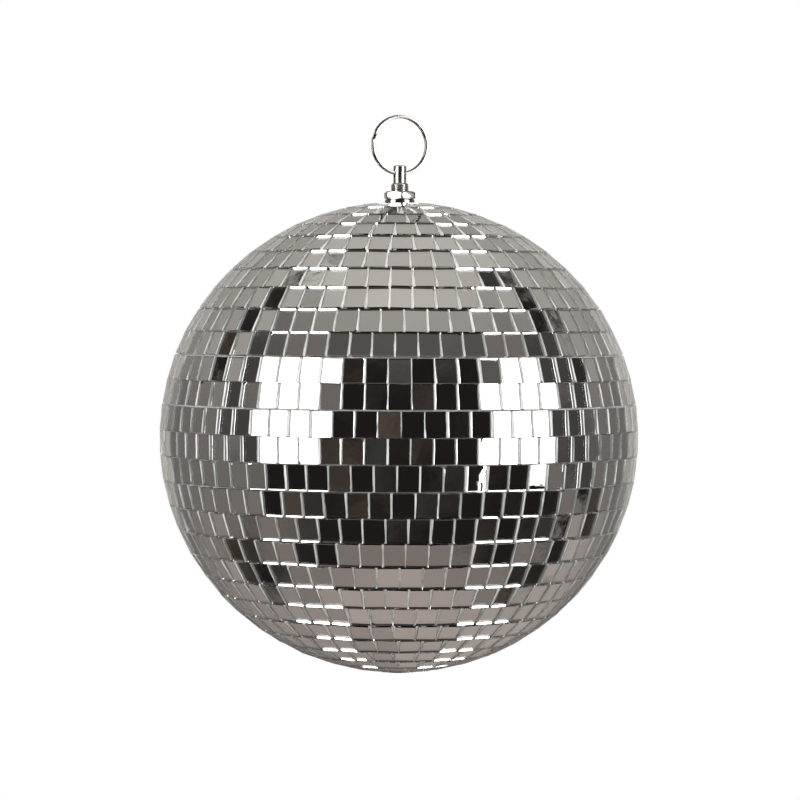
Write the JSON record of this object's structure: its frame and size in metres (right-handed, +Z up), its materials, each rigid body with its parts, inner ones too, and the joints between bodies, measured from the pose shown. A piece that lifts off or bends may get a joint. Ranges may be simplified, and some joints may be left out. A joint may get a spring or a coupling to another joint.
{
  "type": "mirror ball",
  "caption": "Hanging mirror ball: glass tile strips on a hollow plastic core, with a swivel pin and a split ring in its crown.",
  "frame": {"origin": "where a hook bears on the split ring: the inside of the ring at its top", "axes": "+Z up along the ball's spin axis, +X along the cross hole in the pin, so the ring lies in the XZ plane at rest"},
  "size_m": [0.2014, 0.2014, 0.2347],
  "materials": {
    "mirror_glass": "polished silvered glass",
    "core_plastic": "moulded, off-white",
    "chrome_steel": "bright plated",
    "zinc_steel": "zinc plated"
  },
  "bodies": {
    "ring": {"split_ring": "chrome_steel"},
    "pin": {"swivel_pin": "chrome_steel", "retaining_clip": "zinc_steel"},
    "ball": {"mirror_row_01": "mirror_glass", "mirror_row_02": "mirror_glass", "mirror_row_03": "mirror_glass", "mirror_row_04": "mirror_glass", "mirror_row_05": "mirror_glass", "mirror_row_06": "mirror_glass", "mirror_row_07": "mirror_glass", "mirror_row_08": "mirror_glass", "mirror_row_09": "mirror_glass", "mirror_row_10": "mirror_glass", "mirror_row_11": "mirror_glass", "mirror_row_12": "mirror_glass", "mirror_row_13": "mirror_glass", "mirror_row_14": "mirror_glass", "mirror_row_15": "mirror_glass", "mirror_row_16": "mirror_glass", "mirror_row_17": "mirror_glass", "mirror_row_18": "mirror_glass", "mirror_row_19": "mirror_glass", "mirror_row_20": "mirror_glass", "mirror_row_21": "mirror_glass", "mirror_row_22": "mirror_glass", "mirror_row_23": "mirror_glass", "mirror_row_24": "mirror_glass", "mirror_row_25": "mirror_glass", "mirror_row_26": "mirror_glass", "mirror_row_27": "mirror_glass", "crown_cap_mirror": "mirror_glass", "bottom_cap_mirror": "mirror_glass", "core_upper_shell": "core_plastic", "core_lower_shell": "core_plastic", "crown_washer": "chrome_steel", "top_hex_nut": "chrome_steel", "threaded_bush": "chrome_steel", "inner_washer": "zinc_steel", "inner_lock_nut": "zinc_steel", "thrust_washer": "zinc_steel"}
  },
  "joints": [
    {"name": "ring_swing", "type": "hinge", "parent": "ring", "child": "pin", "pos_m": [0, 0, -0.0234], "axis": [1, 0, 0], "range_deg": [-115, 115]},
    {"name": "ball_spin", "type": "hinge", "parent": "pin", "child": "ball", "pos_m": [0, 0, -0.0234], "axis": [0, 0, 1], "continuous": true}
  ]
}
